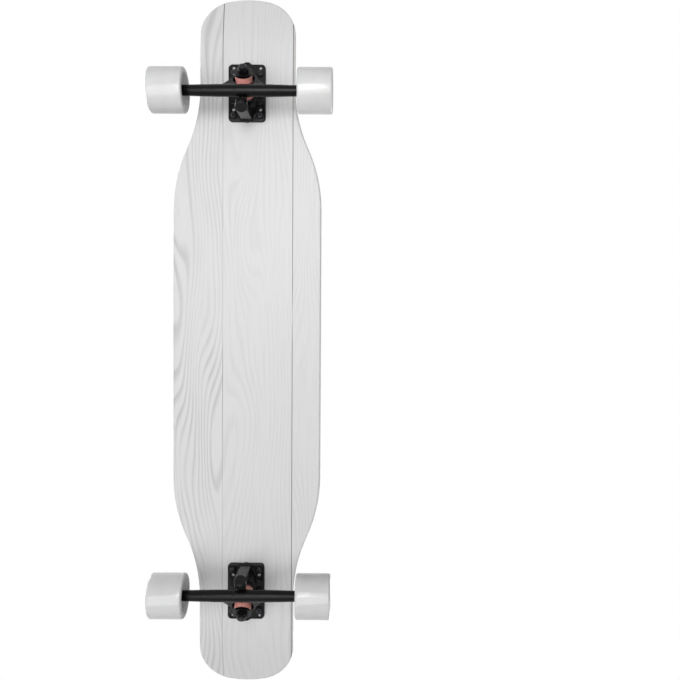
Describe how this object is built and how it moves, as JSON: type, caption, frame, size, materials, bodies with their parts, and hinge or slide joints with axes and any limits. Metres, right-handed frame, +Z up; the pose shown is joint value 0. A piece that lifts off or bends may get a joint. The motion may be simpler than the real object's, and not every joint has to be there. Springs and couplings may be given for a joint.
{
  "type": "longboard skateboard",
  "caption": "Longboard skateboard: flared maple deck with upturned ends and grip tape, reverse-kingpin trucks steering on urethane bushings, wide urethane wheels on ball bearings.",
  "frame": {"origin": "On the ground under the middle of the deck, where the four wheels stand on the plane Z = 0.", "axes": "X across the board with +X to the rider's left when facing the nose, Y along the board with the nose at -Y, Z up."},
  "size_m": [0.264, 1.067, 0.1216],
  "materials": {
    "maple_ply": "printed, satin varnish",
    "grip_grit": "abrasive grit",
    "black_alloy": "satin black coat",
    "black_steel": "black oxide",
    "bolt_steel": "zinc plated",
    "washer_steel": "plain steel",
    "coral_urethane": "cast urethane, satin",
    "white_urethane": "cast urethane, gloss",
    "core_nylon": "moulded nylon",
    "bearing_steel": "ground steel",
    "shield_steel": "pressed steel"
  },
  "bodies": {
    "board": {"deck": "maple_ply", "grip_tape": "grip_grit", "front_deck_bolts": "black_steel", "front_deck_nuts": "black_steel", "front_baseplate": "black_alloy", "front_pivot_cup": "coral_urethane", "front_kingpin": "black_steel", "front_boardside_washer": "black_steel", "front_boardside_bushing": "coral_urethane", "front_roadside_bushing": "coral_urethane", "front_roadside_washer": "black_steel", "front_kingpin_nut": "black_steel", "rear_deck_bolts": "black_steel", "rear_deck_nuts": "black_steel", "rear_baseplate": "black_alloy", "rear_pivot_cup": "coral_urethane", "rear_kingpin": "black_steel", "rear_boardside_washer": "black_steel", "rear_boardside_bushing": "coral_urethane", "rear_roadside_bushing": "coral_urethane", "rear_roadside_washer": "black_steel", "rear_kingpin_nut": "black_steel"},
    "front_truck": {"front_hanger": "black_alloy", "front_axle": "bolt_steel", "front_speed_washers": "washer_steel", "front_axle_nuts": "bolt_steel", "front_left_bearing_inner_races": "bearing_steel", "front_left_bearing_spacer": "washer_steel", "front_right_bearing_inner_races": "bearing_steel", "front_right_bearing_spacer": "washer_steel"},
    "rear_truck": {"rear_hanger": "black_alloy", "rear_axle": "bolt_steel", "rear_speed_washers": "washer_steel", "rear_axle_nuts": "bolt_steel", "rear_left_bearing_inner_races": "bearing_steel", "rear_left_bearing_spacer": "washer_steel", "rear_right_bearing_inner_races": "bearing_steel", "rear_right_bearing_spacer": "washer_steel"},
    "front_left_wheel_set": {"front_left_wheel": "white_urethane", "front_left_wheel_core": "core_nylon", "front_left_bearing_outer_races": "bearing_steel", "front_left_bearing_shields": "shield_steel"},
    "front_right_wheel_set": {"front_right_wheel": "white_urethane", "front_right_wheel_core": "core_nylon", "front_right_bearing_outer_races": "bearing_steel", "front_right_bearing_shields": "shield_steel"},
    "rear_left_wheel_set": {"rear_left_wheel": "white_urethane", "rear_left_wheel_core": "core_nylon", "rear_left_bearing_outer_races": "bearing_steel", "rear_left_bearing_shields": "shield_steel"},
    "rear_right_wheel_set": {"rear_right_wheel": "white_urethane", "rear_right_wheel_core": "core_nylon", "rear_right_bearing_outer_races": "bearing_steel", "rear_right_bearing_shields": "shield_steel"},
    "front_left_ball_set": {"front_left_bearing_balls": "bearing_steel"},
    "front_right_ball_set": {"front_right_bearing_balls": "bearing_steel"},
    "rear_left_ball_set": {"rear_left_bearing_balls": "bearing_steel"},
    "rear_right_ball_set": {"rear_right_bearing_balls": "bearing_steel"}
  },
  "joints": [
    {"name": "front_steer", "type": "hinge", "parent": "board", "child": "front_truck", "pos_m": [0, -0.38719, 0.06393], "axis": [0, -0.766, 0.6428], "range_deg": [-20, 20], "stiffness_Nm_per_rad": 60, "deforming": ["front_boardside_bushing", "front_roadside_bushing"]},
    {"name": "rear_steer", "type": "hinge", "parent": "board", "child": "rear_truck", "pos_m": [0, 0.38719, 0.06393], "axis": [0, 0.766, 0.6428], "range_deg": [-20, 20], "stiffness_Nm_per_rad": 60, "deforming": ["rear_boardside_bushing", "rear_roadside_bushing"]},
    {"name": "front_left_spin", "type": "hinge", "parent": "front_truck", "child": "front_left_wheel_set", "pos_m": [0, -0.3684, 0.0325], "axis": [1, 0, 0], "continuous": true},
    {"name": "front_right_spin", "type": "hinge", "parent": "front_truck", "child": "front_right_wheel_set", "pos_m": [0, -0.3684, 0.0325], "axis": [1, 0, 0], "continuous": true},
    {"name": "rear_left_spin", "type": "hinge", "parent": "rear_truck", "child": "rear_left_wheel_set", "pos_m": [0, 0.3684, 0.0325], "axis": [1, 0, 0], "continuous": true},
    {"name": "rear_right_spin", "type": "hinge", "parent": "rear_truck", "child": "rear_right_wheel_set", "pos_m": [0, 0.3684, 0.0325], "axis": [1, 0, 0], "continuous": true},
    {"name": "front_left_ball_roll", "type": "hinge", "parent": "front_truck", "child": "front_left_ball_set", "pos_m": [0, -0.3684, 0.0325], "axis": [1, 0, 0], "continuous": true},
    {"name": "front_right_ball_roll", "type": "hinge", "parent": "front_truck", "child": "front_right_ball_set", "pos_m": [0, -0.3684, 0.0325], "axis": [1, 0, 0], "continuous": true},
    {"name": "rear_left_ball_roll", "type": "hinge", "parent": "rear_truck", "child": "rear_left_ball_set", "pos_m": [0, 0.3684, 0.0325], "axis": [1, 0, 0], "continuous": true},
    {"name": "rear_right_ball_roll", "type": "hinge", "parent": "rear_truck", "child": "rear_right_ball_set", "pos_m": [0, 0.3684, 0.0325], "axis": [1, 0, 0], "continuous": true}
  ],
  "couplings": [
    {"joint": "front_left_ball_roll", "follows": "front_left_spin", "ratio": 0.6319},
    {"joint": "front_right_ball_roll", "follows": "front_right_spin", "ratio": 0.6319},
    {"joint": "rear_left_ball_roll", "follows": "rear_left_spin", "ratio": 0.6319},
    {"joint": "rear_right_ball_roll", "follows": "rear_right_spin", "ratio": 0.6319}
  ]
}
